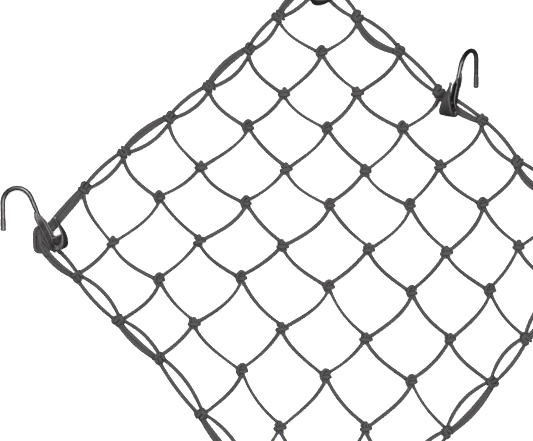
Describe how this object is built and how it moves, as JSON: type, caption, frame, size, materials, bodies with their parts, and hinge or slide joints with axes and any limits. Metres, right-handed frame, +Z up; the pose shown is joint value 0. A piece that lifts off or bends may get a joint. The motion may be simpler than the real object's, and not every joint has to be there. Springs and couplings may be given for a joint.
{
  "type": "elastic cargo net with wire hooks",
  "caption": "Square knotted net of flat braided elastic cord with a doubled edge cord and wire hooks crimped in curled sheet clips, lying flat.",
  "frame": {"origin": "on the ground, under the middle of the bounding box in plan", "axes": "+X along one side of the net, +Y along the other, +Z up from the surface that it lies on"},
  "size_m": [0.4546, 0.4628, 0.0433],
  "materials": {
    "cord": "matt grey braid",
    "steel": "gunmetal, semi-gloss",
    "cap": "dark, satin"
  },
  "bodies": {
    "root": {"net": "cord", "hook_wire_left": "steel", "hook_clip_left": "steel", "hook_tip_left": "cap", "hook_wire_top": "steel", "hook_clip_top": "steel", "hook_tip_top": "cap", "hook_wire_right": "steel", "hook_clip_right": "steel", "hook_tip_right": "cap", "hook_wire_bottom": "steel", "hook_clip_bottom": "steel", "hook_tip_bottom": "cap", "hook_wire_side": "steel", "hook_clip_side": "steel", "hook_tip_side": "cap"}
  },
  "joints": []
}
